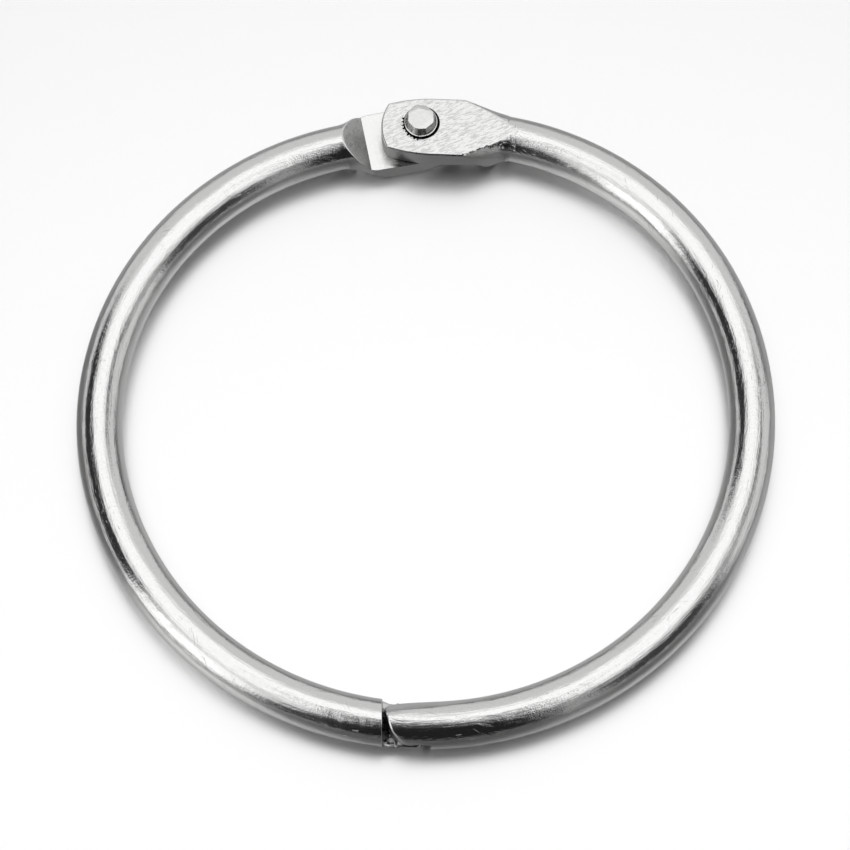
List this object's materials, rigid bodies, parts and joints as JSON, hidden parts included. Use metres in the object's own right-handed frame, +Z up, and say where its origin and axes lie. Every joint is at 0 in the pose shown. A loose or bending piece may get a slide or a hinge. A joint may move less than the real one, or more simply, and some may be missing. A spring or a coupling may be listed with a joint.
{
  "type": "binder ring",
  "caption": "Hinged steel ring for loose leaves: two half rings of round wire on a riveted hinge, closed by a toothed snap clasp.",
  "frame": {"origin": "centre of the closed ring's wire circle, on the plane that the ring lies on", "axes": "+Z up, out of the ring's front face; +Y from the ring's centre towards the hinge; +X towards the right half"},
  "size_m": [0.0576, 0.057, 0.0048],
  "materials": {
    "plated_wire": "bright nickel plating on drawn steel wire, with fine scratches, pits and pressing marks",
    "plated_rivet": "nickel-plated steel with a hammered, faceted head"
  },
  "bodies": {
    "left_half": {"left_half_ring": "plated_wire", "hinge_rivet": "plated_rivet"},
    "right_half": {"right_half_ring": "plated_wire"}
  },
  "joints": [
    {"name": "ring_hinge", "type": "hinge", "parent": "left_half", "child": "right_half", "pos_m": [-0.0004, 0.02575, 0.0019], "axis": [0, 0, 1], "range_deg": [0, 140]}
  ]
}
